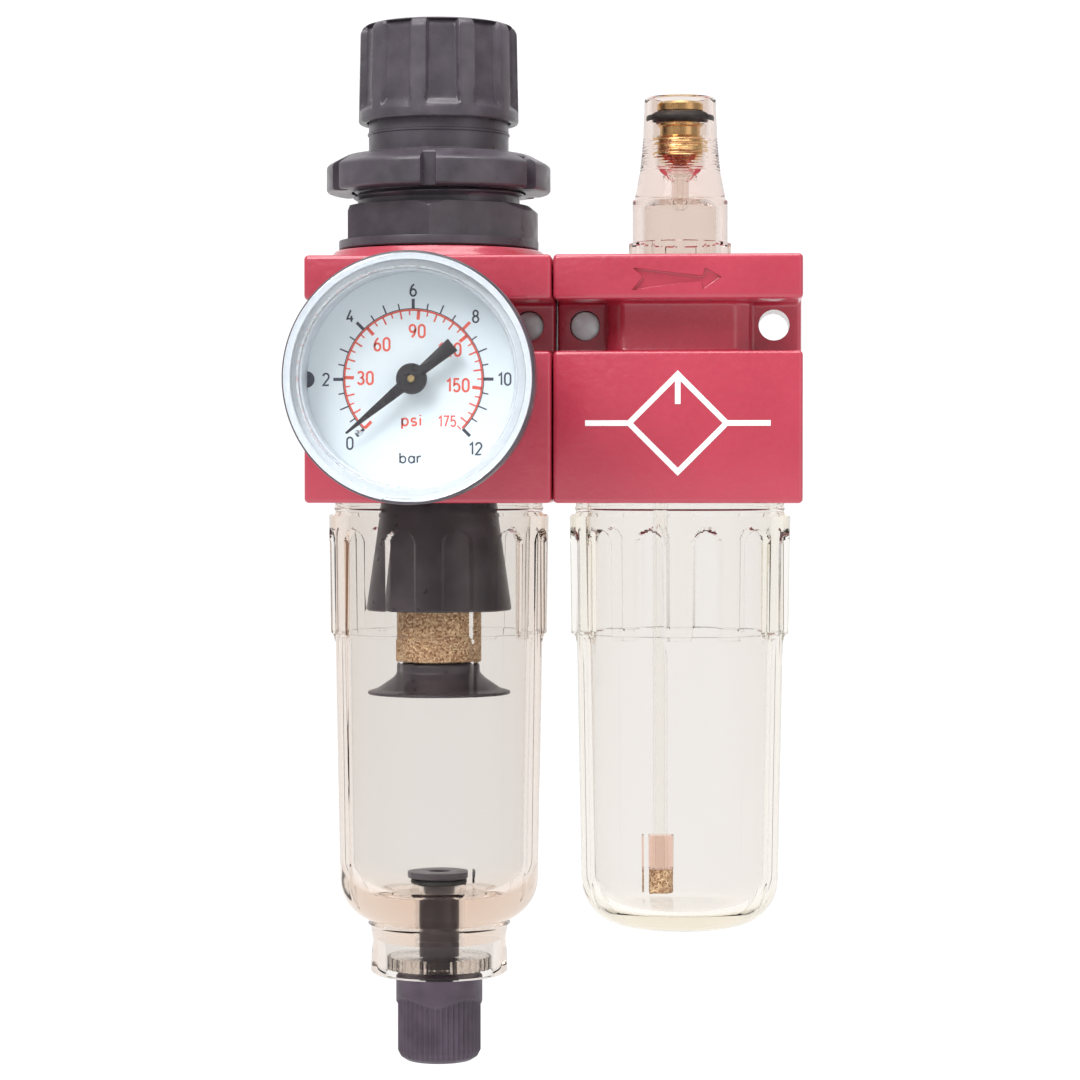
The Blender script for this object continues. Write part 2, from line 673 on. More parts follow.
def cast_body(name, label, parent):
    """What both castings share: the block, its channels, web holes, main ports and bowl chamber."""
    low = (-FACE, -FACE, -BODY_DROP)
    high = (FACE, FACE, BODY_RISE)
    body = block(name, low, high, parent, "red_powder_coat", BODY_EDGE)
    for side, word in ((-1, "front"), (1, "rear")):
        cut(body, channel_cutter(f"{label}_{word}_channel", side, parent))
    hole_x = FACE - WEB_HOLE_FROM_FACE
    hole_z = (CHANNEL_TOP + CHANNEL_FOOT) / 2 + WEB_HOLE_ABOVE_MIDDLE
    for side, word in ((-1, "left"), (1, "right")):
        start = (side * hole_x, -FACE, hole_z)
        end = (side * hole_x, FACE, hole_z)
        cut(body, drill(f"{label}_{word}_web_hole", WEB_HOLE_RADIUS, start, end, parent, COARSE))
        cut(body, port_cutter(f"{label}_{word}_port", side, parent))
    mouth = -BODY_DROP - FIT
    cut(body, rod(f"{label}_bowl_chamber", BOWL_BORE_RADIUS, mouth, CHAMBER_ROOF, parent, sides=FINE))
    return body


def filter_regulator_body():
    body = cast_body("filter_regulator_body", "filter", FILTER_AXIS)
    boss = turned(
        "boss",
        [
            (0, BOSS_TOP),
            (BOSS_TOP_RADIUS, BOSS_TOP),
            (BOSS_FOOT_RADIUS, BODY_RISE + BOSS_LAND),
            (BOSS_FOOT_RADIUS, CHANNEL_TOP + FIT),
            (0, CHANNEL_TOP + FIT),
        ],
        FILTER_AXIS,
        None,
        FINE,
    )
    bore = turned(
        "regulator_bore",
        [
            (0, BOSS_TOP + FIT),
            (BONNET_BORE_RADIUS, BOSS_TOP + FIT),
            (BONNET_BORE_RADIUS, BONNET_FLOOR),
            (PISTON_BORE_RADIUS, BONNET_FLOOR),
            (PISTON_BORE_RADIUS, PISTON_FLOOR),
            (SEAT_HOLE_RADIUS, PISTON_FLOOR),
            (SEAT_HOLE_RADIUS, VALVE_SEAT),
            (VALVE_CHAMBER_RADIUS, VALVE_SEAT),
            (VALVE_CHAMBER_RADIUS, CHAMBER_ROOF - FIT),
            (0, CHAMBER_ROOF - FIT),
        ],
        FILTER_AXIS,
        None,
        MEDIUM,
    )
    deep = CHAMBER_ROOF - FIT
    top = PISTON_FLOOR + PASSAGE_RUNOUT
    inlet_x = -(PORT_END + PASSAGE_RADIUS + INLET_WALL)
    outlet_x = VALVE_CHAMBER_RADIUS + PASSAGE_RADIUS + OUTLET_WALL
    sense_y = -(GAUGE_PORT_END - SENSE_RADIUS - FIT / 2)
    low, high = (0, sense_y, GAUGE_RISE), (0, sense_y, top)
    inlet_end, outlet_end = (inlet_x, 0, deep), (outlet_x, 0, top)
    inlet = drill("inlet_passage", PASSAGE_RADIUS, (inlet_x, 0, 0), inlet_end, FILTER_AXIS, COARSE)
    outlet = drill("outlet_passage", PASSAGE_RADIUS, (outlet_x, 0, 0), outlet_end, FILTER_AXIS, COARSE)
    sense = drill("sensing_passage", SENSE_RADIUS, low, high, FILTER_AXIS, COARSE)
    unite(body, boss)
    cut(body, bore, inlet, outlet)
    for side, word in ((-1, "gauge"), (1, "rear")):
        start = (0, side * GAUGE_PORT_END, GAUGE_RISE)
        mouth = (0, side * (FACE + FIT), GAUGE_RISE)
        cut(body, drill(f"{word}_port", GAUGE_PORT_RADIUS, start, mouth, FILTER_AXIS))
    cut(body, sense)


def lubricator_body():
    body = cast_body("lubricator_body", "oil", OIL_AXIS)
    far = FACE - PORT_END / 2
    main = drill("main_bore", MAIN_BORE_RADIUS, (-far, 0, 0), (far, 0, 0), OIL_AXIS)
    socket = rod("dome_socket", DOME_BORE_RADIUS, DOME_FLOOR, BODY_RISE + FIT, OIL_AXIS)
    drip = rod("drip_passage", DRIP_HOLE_RADIUS, 0, DOME_FLOOR + FIT, OIL_AXIS, sides=COARSE)
    gallery_radius = SIPHON_RADIUS + FIT
    foot = (SIPHON_X, SIPHON_Y, CHAMBER_ROOF - FIT)
    throat = (SIPHON_X, SIPHON_Y, MAIN_BORE_RADIUS)
    roof = (SIPHON_X, SIPHON_Y, DOME_FLOOR + FIT)
    gallery = drill("siphon_gallery", gallery_radius, foot, throat, OIL_AXIS, COARSE)
    riser = drill("siphon_riser", SIPHON_BORE_RADIUS, throat, roof, OIL_AXIS, COARSE)
    vent_foot = (VENT_X, 0, CHAMBER_ROOF - FIT)
    vent = drill("bowl_vent", DRIP_HOLE_RADIUS, (VENT_X, 0, 0), vent_foot, OIL_AXIS, COARSE)
    pin_reach = FLAP_PIN / 2 + FIT
    pocket_radius = FLAP_PIN_RADIUS + FIT
    pin_ends = [(FLAP_X, side * pin_reach, FLAP_HINGE) for side in (-1, 1)]
    pocket = drill("flap_pocket", pocket_radius, *pin_ends, OIL_AXIS, COARSE)
    wide = FACE_SEAL_RADIUS + FACE_SEAL_WIRE + FIT
    slim = FACE_SEAL_RADIUS - FACE_SEAL_WIRE - FIT
    outer = [(wide, FACE + FIT), (wide, FACE - FACE_GROOVE)]
    inner = [(slim, FACE + FIT), (slim, FACE - FACE_GROOVE)]
    groove = ring("face_groove", outer, inner, OIL_AXIS, None, turn=(0, -math.pi / 2, 0))
    cut(body, main, socket, drip, gallery, riser, vent, pocket, groove)


def bonnet():
    neck_foot = THREAD_TOP - THREAD_DEPTH
    outer = [
        (0, NECK_TOP),
        (NECK_RADIUS, NECK_TOP),
        (NECK_RADIUS, THREAD_TOP),
        (THREAD_RADIUS - THREAD_DEPTH, THREAD_TOP),
        (THREAD_RADIUS, neck_foot),
        (THREAD_RADIUS, THREAD_FOOT),
        (THREAD_RADIUS - THREAD_DEPTH, THREAD_FOOT),
        (THREAD_RADIUS - THREAD_DEPTH, HEX_TOP + SEAT_LAND),
        (THREAD_RADIUS + FIT / 3, HEX_TOP + SEAT_LAND),
        (THREAD_RADIUS + FIT / 3, HEX_FOOT),
        (BONNET_FLANGE_RADIUS, HEX_FOOT),
        (BONNET_FLANGE_RADIUS, FLANGE_FOOT),
        (BONNET_BORE_RADIUS - FIT, FLANGE_FOOT),
        (BONNET_BORE_RADIUS - FIT, BONNET_FLOOR + FIT),
        (0, BONNET_FLOOR + FIT),
    ]
    shell = turned("bonnet", outer, FILTER_AXIS, "black_plastic", FINE)
    corner = HEX_ACROSS / math.sqrt(3)
    turn = (0, 0, math.pi / 6)
    hexagon = rod("bonnet_hexagon", corner, HEX_FOOT - FIT, HEX_TOP, FILTER_AXIS, sides=6, turn=turn)
    hole_radius = SPINDLE_RADIUS + FIT
    bore = turned(
        "bonnet_bore",
        [
            (0, NECK_TOP + FIT),
            (hole_radius, NECK_TOP + FIT),
            (hole_radius, ROOF_UNDER),
            (SPRING_BORE_RADIUS, ROOF_UNDER),
            (SPRING_BORE_RADIUS, BONNET_FLOOR),
            (0, BONNET_FLOOR),
        ],
        FILTER_AXIS,
        None,
    )
    rim = arc(0, 0, LUG_REACH, -LUG_HALF_ANGLE, LUG_HALF_ANGLE, LUG_POINTS)
    inner = THREAD_RADIUS - 2 * THREAD_DEPTH
    outline = [(inner, rim[0][1]), *rim, (inner, rim[-1][1])]
    lug = plate("bonnet_lug", outline, FLANGE_FOOT + FIT, HEX_TOP - FIT, FILTER_AXIS, None)
    unite(shell, hexagon, lug)
    cut(shell, bore)


def panel_nut():
    rim_top = NUT_FOOT + NUT_HEIGHT
    bore = THREAD_RADIUS + FIT
    outer = [(bore + THREAD_DEPTH, rim_top + NUT_CROWN), (NUT_RADIUS, rim_top), (NUT_RADIUS, NUT_FOOT)]
    inner = [(bore, rim_top + NUT_CROWN), (bore, NUT_FOOT)]
    nut = ring("panel_nut", outer, inner, FILTER_AXIS, "black_plastic", FINE)
    slots = []
    for i in range(NUT_SLOTS):
        slot = block(
            f"nut_slot_{i}",
            (-NUT_SLOT_WIDTH / 2, -NUT_RADIUS - FIT, NUT_FOOT - FIT),
            (NUT_SLOT_WIDTH / 2, -(NUT_RADIUS - NUT_SLOT_DEPTH), rim_top + NUT_CROWN),
            FILTER_AXIS,
        )
        slot.rotation_euler = (0, 0, i * math.tau / NUT_SLOTS)
        slots.append(slot)
    cut(nut, merged("nut_slots", slots))


def adjusting_knob():
    bore = SPINDLE_RADIUS + FIT
    skirt = NECK_RADIUS + FIT
    cavity_top = NECK_TOP + FIT
    outline = [
        (0, NECK_TOP + SPINDLE_END + FIT),
        (bore, NECK_TOP + SPINDLE_END + FIT),
        (bore, cavity_top),
        (skirt, cavity_top),
        (skirt, KNOB_FOOT),
        (KNOB_FOOT_RADIUS, KNOB_FOOT),
        *arc(KNOB_TOP_RADIUS - KNOB_EDGE, KNOB_TOP - KNOB_EDGE, KNOB_EDGE, 0, 90, 4),
        (0, KNOB_TOP),
    ]
    knob = turned("adjusting_knob", list(reversed(outline)), FILTER_AXIS, "black_plastic", FINE)
    centre = KNOB_TOP_RADIUS - FLUTE_DEPTH + FLUTE_RADIUS
    flutes = []
    for i in range(FLUTES):
        angle = FLUTE_TURN - math.pi / 2 + i * math.tau / FLUTES
        place = (centre * math.cos(angle), centre * math.sin(angle), 0)
        low, high = KNOB_FOOT + FLUTE_SKIRT, KNOB_TOP + FIT
        flutes.append(rod(f"flute_{i}", FLUTE_RADIUS, low, high, FILTER_AXIS, sides=COARSE, place=place))
    cut(knob, merged("knob_flutes", flutes))


def adjusting_spindle():
    tip = SPINDLE_FLANGE_FOOT - SPINDLE_THREAD
    outline = [
        (0, NECK_TOP + SPINDLE_END),
        (SPINDLE_RADIUS, NECK_TOP + SPINDLE_END),
        (SPINDLE_RADIUS, SPINDLE_FLANGE_TOP),
        (SPINDLE_FLANGE_RADIUS, SPINDLE_FLANGE_TOP),
        (SPINDLE_FLANGE_RADIUS, SPINDLE_FLANGE_FOOT),
        (SPINDLE_THREAD_RADIUS, SPINDLE_FLANGE_FOOT),
        (SPINDLE_THREAD_RADIUS, tip),
        (0, tip),
    ]
    turned("adjusting_spindle", outline, FILTER_AXIS, "zinc_plated_steel", COARSE)


def spring_seat():
    bore = SPINDLE_THREAD_RADIUS + FIT
    hub_foot = SEAT_PLATE_FOOT - SEAT_HUB
    outer = [
        (SEAT_PLATE_RADIUS, SEAT_PLATE_TOP),
        (SEAT_PLATE_RADIUS, SEAT_PLATE_FOOT),
        (SEAT_HUB_RADIUS, SEAT_PLATE_FOOT),
        (SEAT_HUB_RADIUS, hub_foot),
    ]
    ring("spring_seat", outer, [(bore, SEAT_PLATE_TOP), (bore, hub_foot)], FILTER_AXIS, "brass", MEDIUM)


def coil(name, radius, wire_radius, low, high, turns, parent):
    """A compression spring between two levels."""
    start, rise = low + wire_radius, high - low - 2 * wire_radius
    steps = turns * COIL_STEPS
    points = []
    for i in range(steps + 1):
        angle = math.tau * i / COIL_STEPS
        points.append((radius * math.cos(angle), radius * math.sin(angle), start + rise * i / steps))
    wire(name, points, wire_radius, parent, "zinc_plated_steel")


def springs():
    low = PISTON_TOP + FIT
    high = SEAT_PLATE_FOOT - FIT
    coil("range_spring", RANGE_COIL_RADIUS, RANGE_WIRE_RADIUS, low, high, RANGE_TURNS, FILTER_AXIS)
    low = CARRIER_TOP + FIT
    high = POPPET_FOOT - FIT
    coil("valve_spring", VALVE_COIL_RADIUS, VALVE_WIRE_RADIUS, low, high, VALVE_TURNS, FILTER_AXIS)


def regulator_piston():
    radius = PISTON_BORE_RADIUS - FIT
    middle = PISTON_TOP - PISTON_HEIGHT / 2
    groove = radius - PISTON_GROOVE_DEPTH
    outline = [
        (0, PISTON_TOP + PISTON_BOSS),
        (PISTON_BOSS_RADIUS, PISTON_TOP + PISTON_BOSS),
        (PISTON_BOSS_RADIUS, PISTON_TOP),
        (radius, PISTON_TOP),
        (radius, middle + PISTON_GROOVE / 2),
        (groove, middle + PISTON_GROOVE / 2),
        (groove, middle - PISTON_GROOVE / 2),
        (radius, middle - PISTON_GROOVE / 2),
        (radius, PISTON_FOOT),
        (0, PISTON_FOOT),
    ]
    turned("regulator_piston", outline, FILTER_AXIS, "brass")
    wire_radius = (PISTON_GROOVE - FIT) / 2
    o_ring("piston_seal", groove + wire_radius + FIT / 3, wire_radius, middle, FILTER_AXIS)


def valve_poppet():
    outline = [
        (0, PISTON_FOOT - FIT),
        (POPPET_STEM_RADIUS, PISTON_FOOT - FIT),
        (POPPET_STEM_RADIUS, POPPET_TOP),
        (POPPET_RADIUS, POPPET_TOP),
        (POPPET_RADIUS, POPPET_FOOT),
        (POPPET_GUIDE_RADIUS, POPPET_FOOT),
        (POPPET_GUIDE_RADIUS, POPPET_FOOT - POPPET_GUIDE),
        (0, POPPET_FOOT - POPPET_GUIDE),
    ]
    turned("valve_poppet", outline, FILTER_AXIS, "brass", COARSE)


def valve_carrier():
    plug = VALVE_CHAMBER_RADIUS - FIT
    guide = POPPET_GUIDE_RADIUS + FIT
    guide_foot = CARRIER_FOOT + CARRIER_GUIDE_FLOOR
    outline = [
        (0, guide_foot),
        (guide, guide_foot),
        (guide, CARRIER_TOP),
        (plug, CARRIER_TOP),
        (plug, CARRIER_FLANGE_TOP),
        (CARRIER_FLANGE_RADIUS, CARRIER_FLANGE_TOP),
        (CARRIER_FLANGE_RADIUS, CARRIER_FLANGE_FOOT),
        (CARRIER_BOSS_RADIUS, CARRIER_FLANGE_FOOT),
        (CARRIER_BOSS_RADIUS, CARRIER_FOOT),
        (0, CARRIER_FOOT),
    ]
    carrier = turned("valve_carrier", outline, FILTER_AXIS, "black_plastic")
    circle = CARRIER_BOSS_RADIUS + CARRIER_HOLE_RADIUS + FIT
    holes = []
    for i in range(CARRIER_HOLES):
        angle = i * math.tau / CARRIER_HOLES
        place = (circle * math.cos(angle), circle * math.sin(angle), 0)
        low, high = CARRIER_FLANGE_FOOT - FIT, CARRIER_TOP + FIT
        name = f"carrier_hole_{i}"
        holes.append(rod(name, CARRIER_HOLE_RADIUS, low, high, FILTER_AXIS, sides=TINY, place=place))
    cut(carrier, merged("carrier_holes", holes))


def bowl_wall_radius(height):
    """Inner radius of a bowl at a height, as it tapers from collar to foot."""
    share = (COLLAR_FOOT - height) / (COLLAR_FOOT - BOWL_FOOT)
    return BOWL_INNER_RADIUS - BOWL_TAPER * min(max(share, 0), 1)


def deflector_shroud():
    foot = bowl_wall_radius(SHROUD_FOOT) - SHROUD_BOWL_GAP
    outer = [(SHROUD_TOP_RADIUS, SHROUD_ROOF), (foot, SHROUD_FOOT)]
    hole = ELEMENT_RADIUS - SHROUD_HOLE_LAND
    under = SHROUD_ROOF - SHROUD_TOP
    inner = [
        (hole, SHROUD_ROOF),
        (hole, under),
        (SHROUD_TOP_RADIUS - SHROUD_WALL, under),
        (foot - SHROUD_WALL, SHROUD_FOOT),
    ]
    ring("deflector_shroud", outer, inner, FILTER_AXIS, "black_plastic")


def filter_element():
    bore = ELEMENT_RADIUS - ELEMENT_WALL
    outer = [(ELEMENT_RADIUS, ELEMENT_TOP), (ELEMENT_RADIUS, ELEMENT_FOOT)]
    ring("filter_element", outer, [(bore, ELEMENT_TOP), (bore, ELEMENT_FOOT)], FILTER_AXIS, "sintered_bronze")


def lower_baffle():
    rim = ELEMENT_RADIUS - FIT
    foot_z = BAFFLE_TOP - BAFFLE_DROP
    foot = bowl_wall_radius(foot_z) - BAFFLE_BOWL_GAP
    outline = [
        (0, CARRIER_FOOT - FIT),
        (TIE_ROD_RADIUS, CARRIER_FOOT - FIT),
        (TIE_ROD_RADIUS, BAFFLE_TOP),
        (rim, BAFFLE_TOP),
        (rim, BAFFLE_TOP - BAFFLE_WALL),
        (foot, foot_z),
        (foot - BAFFLE_WALL, foot_z),
        (rim - BAFFLE_WALL, BAFFLE_TOP - 2 * BAFFLE_WALL),
        (0, BAFFLE_TOP - 2 * BAFFLE_WALL),
    ]
    turned("lower_baffle", outline, FILTER_AXIS, "black_plastic")


def bowl_outside(slimmer):
    """The outer side of a bowl, from the top of its neck to the end of its bottom corner."""
    neck = BOWL_NECK_RADIUS
    ridge_z = (-BODY_DROP + COLLAR_TOP) / 2
    collar = neck + COLLAR_RISE
    shaft = neck - slimmer
    foot = shaft - BOWL_TAPER
    return [
        (neck, BOWL_TOP),
        (neck, ridge_z + 2 * BOWL_RIDGE),
        (neck + BOWL_RIDGE, ridge_z),
        (neck, ridge_z - 2 * BOWL_RIDGE),
        (neck, COLLAR_TOP),
        (collar, COLLAR_TOP),
        (collar - COLLAR_TAPER, COLLAR_FOOT + BOWL_RIDGE),
        (shaft, COLLAR_FOOT),
        *arc(foot - BOWL_CORNER, BOWL_FOOT + BOWL_CORNER, BOWL_CORNER, 0, -90, 5),
    ]


def bowl_inside(floor, slimmer):
    """The inner side of a bowl, from its mouth to the end of the floor's corner."""
    corner = BOWL_CORNER - BOWL_WALL
    foot = BOWL_INNER_RADIUS - slimmer - BOWL_TAPER
    return [(BOWL_INNER_RADIUS, BOWL_TOP), *arc(foot - corner, floor + corner, corner, 0, -90, 4)]


def cut_collar_grooves(bowl, label, parent, slimmer):
    """Finger grooves with round tops, cut down to the level of the bowl below the collar."""
    half = COLLAR_GROOVE_WIDTH / 2
    top = COLLAR_TOP - COLLAR_GROOVE_START - half
    floor = BOWL_NECK_RADIUS - slimmer
    outline = [(half, COLLAR_FOOT - FIT), *arc(0, top, half, 0, 180, 5), (-half, COLLAR_FOOT - FIT)]
    grooves = []
    for i in range(COLLAR_GROOVES):
        angle = (i + 0.5) * math.tau / COLLAR_GROOVES
        name = f"{label}_groove_{i}"
        reach = floor + 2 * COLLAR_RISE
        groove = plate(name, outline, floor - FIT / 10, reach, parent, None, turn=(math.pi / 2, 0, angle))
        grooves.append(groove)
    cut(bowl, merged(f"{label}_grooves", grooves))


def filter_bowl():
    outer = bowl_outside(0) + [
        (FOOT_RADIUS, BOWL_FOOT),
        (FOOT_RADIUS - FOOT_WAIST, BOWL_FOOT - FOOT_LENGTH / 3),
        (FOOT_RADIUS, BOWL_FOOT - FOOT_LENGTH * 2 / 3),
        (FOOT_RADIUS, FOOT_END),
    ]
    inner = bowl_inside(DRAIN_FLOOR, 0) + [
        (DRAIN_HOLE_RADIUS, DRAIN_FLOOR),
        (DRAIN_HOLE_RADIUS, RECESS_ROOF),
        (FOOT_RECESS_RADIUS, RECESS_ROOF),
        (FOOT_RECESS_RADIUS, FOOT_END),
    ]
    bowl = ring("filter_bowl", outer, inner, FILTER_AXIS, "clear_polycarbonate", FINE)
    cut_collar_grooves(bowl, "filter_bowl", FILTER_AXIS, 0)
    seal_z = BOWL_TOP + FIT + BOWL_SEAL_RADIUS
    o_ring("filter_bowl_seal", BOWL_NECK_RADIUS - BOWL_SEAL_RADIUS, BOWL_SEAL_RADIUS, seal_z, FILTER_AXIS)


def oil_bowl():
    slimmer = OIL_BOWL_SLIMMER
    inside = bowl_inside(OIL_FLOOR, slimmer)
    outline = [(0, OIL_FLOOR), *reversed(inside), *bowl_outside(slimmer), (0, BOWL_FOOT)]
    bowl = turned("oil_bowl", outline, OIL_AXIS, "clear_polycarbonate", FINE)
    cut_collar_grooves(bowl, "oil_bowl", OIL_AXIS, slimmer)
    seal_z = BOWL_TOP + FIT + BOWL_SEAL_RADIUS
    o_ring("oil_bowl_seal", BOWL_NECK_RADIUS - BOWL_SEAL_RADIUS, BOWL_SEAL_RADIUS, seal_z, OIL_AXIS)


def drain():
    seal_z = DRAIN_FLOOR + FIT + DRAIN_SEAL_RADIUS
    head_foot = seal_z + DRAIN_SEAL_RADIUS + FIT
    shoulder = FOOT_END + FIT
    tail = DRAIN_KNOB_TOP - STEM_TAIL
    stem = [
        (0, head_foot + STEM_HEAD),
        (STEM_HEAD_RADIUS, head_foot + STEM_HEAD),
        (STEM_HEAD_RADIUS, head_foot),
        (STEM_RADIUS, head_foot),
        (STEM_RADIUS, shoulder),
        (STEM_TAIL_RADIUS, shoulder),
        (STEM_TAIL_RADIUS, tail),
        (STEM_BORE_RADIUS, tail),
        (STEM_BORE_RADIUS, DRAIN_FLOOR),
        (0, DRAIN_FLOOR),
    ]
    turned("drain_stem", stem, FILTER_AXIS, "black_plastic", MEDIUM)
    seal_radius = STEM_RADIUS + DRAIN_SEAL_RADIUS + FIT
    o_ring("drain_seal", seal_radius, DRAIN_SEAL_RADIUS, seal_z, FILTER_AXIS)
    low = FOOT_END + RETAINER_RECESS
    high = low + RETAINER_HEIGHT
    outer = [(FOOT_RECESS_RADIUS - FIT, high), (FOOT_RECESS_RADIUS - FIT, low)]
    inner = [(STEM_RADIUS + FIT, high), (STEM_RADIUS + FIT, low)]
    ring("drain_retainer", outer, inner, FILTER_AXIS, "clear_polycarbonate")


def drain_knob():
    waist = DRAIN_KNOB_TOP - DRAIN_KNOB_BAND
    grip = DRAIN_KNOB_RADIUS - DRAIN_KNOB_STEP
    socket = STEM_TAIL_RADIUS + FIT
    socket_foot = DRAIN_KNOB_TOP - STEM_TAIL - FIT
    outer = [
        (DRAIN_KNOB_RADIUS, DRAIN_KNOB_TOP),
        (DRAIN_KNOB_RADIUS, waist),
        (grip, waist),
        (grip, DRAIN_KNOB_FOOT + DRAIN_KNOB_EDGE),
        (grip - DRAIN_KNOB_EDGE, DRAIN_KNOB_FOOT),
    ]
    inner = [
        (socket, DRAIN_KNOB_TOP),
        (socket, socket_foot),
        (DRAIN_OUTLET_RADIUS, socket_foot),
        (DRAIN_OUTLET_RADIUS, DRAIN_KNOB_FOOT),
    ]
    ring("drain_knob", outer, inner, FILTER_AXIS, "black_plastic")


def rear_port_plug():
    low, high = GAUGE_PORT_END + FIT, FACE - FIT
    plug = rod("rear_port_plug", GAUGE_PORT_RADIUS - FIT, low, high, REAR_AXIS, "brass")
    socket = rod("plug_socket", PLUG_SOCKET_RADIUS, (low + high) / 2, high + FIT, REAR_AXIS, sides=6)
    cut(plug, socket)


def gauge_case():
    foot, top = CASE_BACK, CASE_FRONT
    hole = GAUGE_SOCKET_RADIUS + FIT
    inner_floor = foot + GAUGE_CASE_WALL
    back = CASE_BODY_RADIUS - GAUGE_CASE_DRAFT
    bore_end = CASE_SHOULDER + GAUGE_CASE_WALL / 3
    outer = [
        (GAUGE_RADIUS, top),
        (GAUGE_RADIUS, CASE_SHOULDER),
        (CASE_BODY_RADIUS, CASE_SHOULDER),
        (back, foot + BODY_EDGE),
        (back - BODY_EDGE, foot),
    ]
    inner = [
        (CASE_BORE_RADIUS, top),
        (CASE_BORE_RADIUS, bore_end),
        (CASE_BODY_RADIUS - GAUGE_CASE_WALL, bore_end),
        (back - GAUGE_CASE_WALL, inner_floor),
        (hole, inner_floor),
        (hole, foot),
    ]
    ring("gauge_case", outer, inner, GAUGE_AXIS, "black_plastic", FINE)


def gauge_stem():
    washer_foot = FACE + FIT
    hex_foot = washer_foot + GAUGE_WASHER + FIT
    hex_top = CASE_BACK - FIT
    thread = GAUGE_PORT_RADIUS - FIT
    thread_end = FACE - GAUGE_STEM_THREAD
    outline = [
        (0, SOCKET_TOP),
        (GAUGE_SOCKET_RADIUS, SOCKET_TOP),
        (GAUGE_SOCKET_RADIUS, hex_foot + FIT),
        (thread, hex_foot + FIT),
        (thread, thread_end),
        (SENSE_RADIUS, thread_end),
        (SENSE_RADIUS, SOCKET_TOP - 2 * SENSE_RADIUS),
        (0, SOCKET_TOP - 2 * SENSE_RADIUS),
    ]
    stem = turned("gauge_stem", outline, GAUGE_AXIS, "brass", MEDIUM)
    corner = GAUGE_STEM_ACROSS / math.sqrt(2)
    inner = GAUGE_PORT_RADIUS - 2 * FIT
    square = ring(
        "gauge_stem_square",
        [(corner, hex_top), (corner, hex_foot)],
        [(inner, hex_top), (inner, hex_foot)],
        GAUGE_AXIS,
        None,
        4,
        turn=(0, 0, math.pi / 4),
    )
    unite(stem, square)
    washer_top = washer_foot + GAUGE_WASHER
    outer = [(GAUGE_WASHER_RADIUS, washer_top), (GAUGE_WASHER_RADIUS, washer_foot)]
    inner = [(GAUGE_PORT_RADIUS, washer_top), (GAUGE_PORT_RADIUS, washer_foot)]
    ring("gauge_washer", outer, inner, GAUGE_AXIS, "natural_nylon", MEDIUM)


def gauge_dial():
    outer = [(DIAL_RADIUS, DIAL_FACE), (DIAL_RADIUS, DIAL_FACE - DIAL_THICK)]
    inner = [(DIAL_HOLE_RADIUS, DIAL_FACE), (DIAL_HOLE_RADIUS, DIAL_FACE - DIAL_THICK)]
    ring("gauge_dial", outer, inner, GAUGE_AXIS, "white_enamel", FINE)


def gauge_lens():
    """A clear front that snaps into the case, with a peg behind it that stops the pointer at zero."""
    rim_out = GAUGE_RADIUS - FIT / 2
    skirt_out = CASE_BORE_RADIUS - FIT
    rim_in = rim_out - LENS_RIM
    face = LENS_FRONT - LENS_PLATE_SET_BACK
    outline = [
        (0, face),
        (rim_in, face),
        (rim_in + FIT, LENS_FRONT),
        (rim_out - FIT, LENS_FRONT),
        (rim_out, LENS_FRONT - FIT),
        (rim_out, LENS_FRONT - LENS_FLANGE),
        (skirt_out, LENS_FRONT - LENS_FLANGE),
        (skirt_out, LENS_FRONT - LENS_SKIRT),
        (rim_in, LENS_FRONT - LENS_SKIRT),
        (rim_in, face - LENS_PLATE),
        (0, face - LENS_PLATE),
    ]
    lens = turned("gauge_lens", outline, GAUGE_AXIS, "clear_acrylic", FINE)
    angle = POINTER_ANGLE + STOP_PEG_TURN
    place = (STOP_PEG_REACH * math.cos(angle), STOP_PEG_REACH * math.sin(angle), 0)
    low, high = POINTER_LEVEL - POINTER_THICK, face - LENS_PLATE / 2
    unite(lens, rod("stop_peg", STOP_PEG_RADIUS, low, high, GAUGE_AXIS, sides=TINY, place=place))


def gauge_pointer():
    tip, root, tail = POINTER_TIP_WIDTH, POINTER_ROOT_WIDTH, POINTER_TAIL_WIDTH
    hub = arc(0, 0, POINTER_HUB_RADIUS, 20, 160, 7)
    outline = [(POINTER_LENGTH, tip / 2), (POINTER_HUB_RADIUS, root / 2), *hub]
    outline += [(-POINTER_HUB_RADIUS, root / 2), (-POINTER_TAIL, tail / 2)]
    outline += [(x, -y) for x, y in reversed(outline)]
    low, high = POINTER_LEVEL, POINTER_LEVEL + POINTER_THICK
    turn = (0, 0, POINTER_ANGLE)
    pointer = plate("gauge_pointer", outline, low, high, GAUGE_AXIS, "black_enamel", turn=turn)
    bore = rod("pointer_bore", ARBOR_RADIUS + FIT / 3, low - FIT, high + FIT, GAUGE_AXIS, sides=COARSE)
    cut(pointer, bore)


def tooth_outline(teeth, full_teeth, middle):
    """Points of a run of gear teeth about an angle. With an even count the middle angle is a tooth gap."""
    pitch = math.tau / full_teeth
    radius = GEAR_MODULE * full_teeth / 2
    tip, root = radius + TOOTH_ABOVE * GEAR_MODULE, radius - TOOTH_BELOW * GEAR_MODULE
    root_half, tip_half = TOOTH_ROOT_HALF * pitch, TOOTH_TIP_HALF * pitch
    corners = ((-root_half, root), (-tip_half, tip), (tip_half, tip), (root_half, root))
    points = []
    for i in range(teeth):
        angle = middle + (i - (teeth - 1) / 2) * pitch
        for offset, reach in corners:
            points.append((reach * math.cos(angle + offset), reach * math.sin(angle + offset)))
    return points


